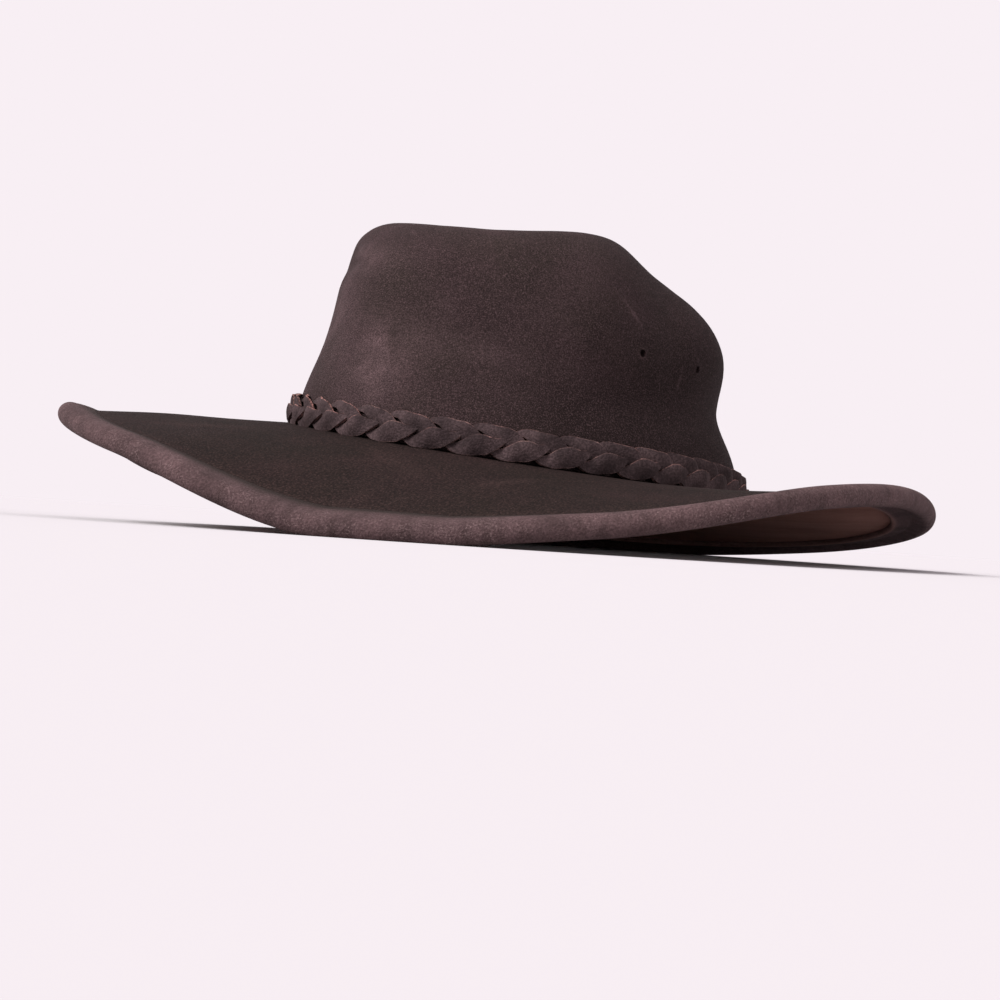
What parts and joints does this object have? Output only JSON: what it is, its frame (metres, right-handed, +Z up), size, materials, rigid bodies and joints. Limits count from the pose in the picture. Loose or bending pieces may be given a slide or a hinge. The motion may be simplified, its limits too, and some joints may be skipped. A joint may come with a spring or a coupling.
{
  "type": "leather hat",
  "caption": "Wide-brimmed leather hat with a front-pinched creased crown, a shaped brim with a bound edge, and a braided leather band.",
  "frame": {"origin": "under the middle of the brim, on the surface that the hat rests on", "axes": "+Z up, the front of the hat towards -Y, +X towards the wearer's left"},
  "size_m": [0.3197, 0.3357, 0.1183],
  "materials": {
    "nubuck_leather": "matt nubuck, dark grey brown with mauve wear on the ridges",
    "brim_suede": "matt nubuck above and warm red-brown suede below",
    "binding_suede": "napped suede with pale worn specks",
    "sweatband_leather": "smooth black, low sheen",
    "braid_leather": "matt split leather with pale raw edges"
  },
  "bodies": {
    "root": {"crown": "nubuck_leather", "brim": "brim_suede", "edge_binding": "binding_suede", "sweatband": "sweatband_leather", "band_strand_1": "braid_leather", "band_strand_2": "braid_leather", "band_strand_3": "braid_leather"}
  },
  "joints": []
}
